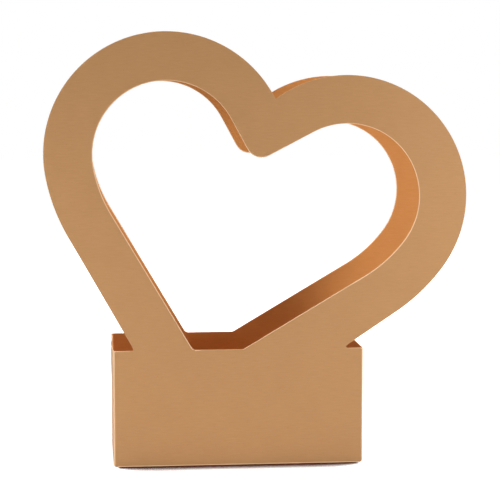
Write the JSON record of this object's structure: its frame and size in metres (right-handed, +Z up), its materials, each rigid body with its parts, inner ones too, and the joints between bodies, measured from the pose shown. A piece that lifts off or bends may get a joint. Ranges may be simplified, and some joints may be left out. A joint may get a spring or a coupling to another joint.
{
  "type": "heart flower box",
  "caption": "Folded card box whose front and back panels rise as tilted open hearts, to carry and frame flowers; its walls and base fold flat together.",
  "frame": {"origin": "middle of the box's footprint, on the table", "axes": "+Z up, +X to the right as seen from the front, the front heart faces -Y"},
  "size_m": [0.3354, 0.1, 0.3445],
  "materials": {
    "kraft_card": "smooth kraft card with a faint sheen"
  },
  "bodies": {
    "front": {"front_panel": "kraft_card", "front_left_crease": "kraft_card", "front_right_crease": "kraft_card", "front_base_crease": "kraft_card"},
    "left_wall": {"left_wall": "kraft_card", "left_glue_flap": "kraft_card", "left_base_crease": "kraft_card"},
    "right_wall": {"right_wall": "kraft_card", "right_glue_flap": "kraft_card", "right_base_crease": "kraft_card"},
    "back": {"back_panel": "kraft_card", "back_left_crease": "kraft_card", "back_right_crease": "kraft_card", "back_base_crease": "kraft_card"},
    "front_base_flap": {"front_base_flap": "kraft_card"},
    "back_base_flap": {"back_base_flap": "kraft_card"},
    "left_base_flap": {"left_base_flap": "kraft_card"},
    "right_base_flap": {"right_base_flap": "kraft_card"}
  },
  "joints": [
    {"name": "left_fold", "type": "hinge", "parent": "front", "child": "left_wall", "pos_m": [-0.098, -0.048, 0], "axis": [0, 0, -1], "range_deg": [0, 80], "deforming": ["front_left_crease"]},
    {"name": "right_fold", "type": "hinge", "parent": "front", "child": "right_wall", "pos_m": [0.098, -0.048, 0], "axis": [0, 0, -1], "range_deg": [0, 80], "deforming": ["front_right_crease", "back_right_crease"]},
    {"name": "back_fold", "type": "hinge", "parent": "left_wall", "child": "back", "pos_m": [-0.098, 0.0486, 0], "axis": [0, 0, 1], "range_deg": [0, 80], "deforming": ["back_left_crease"]},
    {"name": "front_base_fold", "type": "hinge", "parent": "front", "child": "front_base_flap", "pos_m": [0, -0.0488, 0.0012], "axis": [1, 0, 0], "range_deg": [0, 90], "deforming": ["front_base_crease"]},
    {"name": "back_base_fold", "type": "hinge", "parent": "back", "child": "back_base_flap", "pos_m": [0, 0.0488, 0.0012], "axis": [-1, 0, 0], "range_deg": [0, 90], "deforming": ["back_base_crease"]},
    {"name": "left_base_fold", "type": "hinge", "parent": "left_wall", "child": "left_base_flap", "pos_m": [-0.0988, 0, 0.0012], "axis": [0, -1, 0], "range_deg": [0, 90], "deforming": ["left_base_crease"]},
    {"name": "right_base_fold", "type": "hinge", "parent": "right_wall", "child": "right_base_flap", "pos_m": [0.0988, 0, 0.0012], "axis": [0, 1, 0], "range_deg": [0, 90], "deforming": ["right_base_crease"]}
  ],
  "couplings": [
    {"joint": "right_fold", "follows": "left_fold", "ratio": 1},
    {"joint": "back_fold", "follows": "left_fold", "ratio": 1},
    {"joint": "front_base_fold", "follows": "left_fold", "ratio": 1.125},
    {"joint": "back_base_fold", "follows": "left_fold", "ratio": 1.125},
    {"joint": "left_base_fold", "follows": "left_fold", "ratio": 1.125},
    {"joint": "right_base_fold", "follows": "left_fold", "ratio": 1.125}
  ]
}
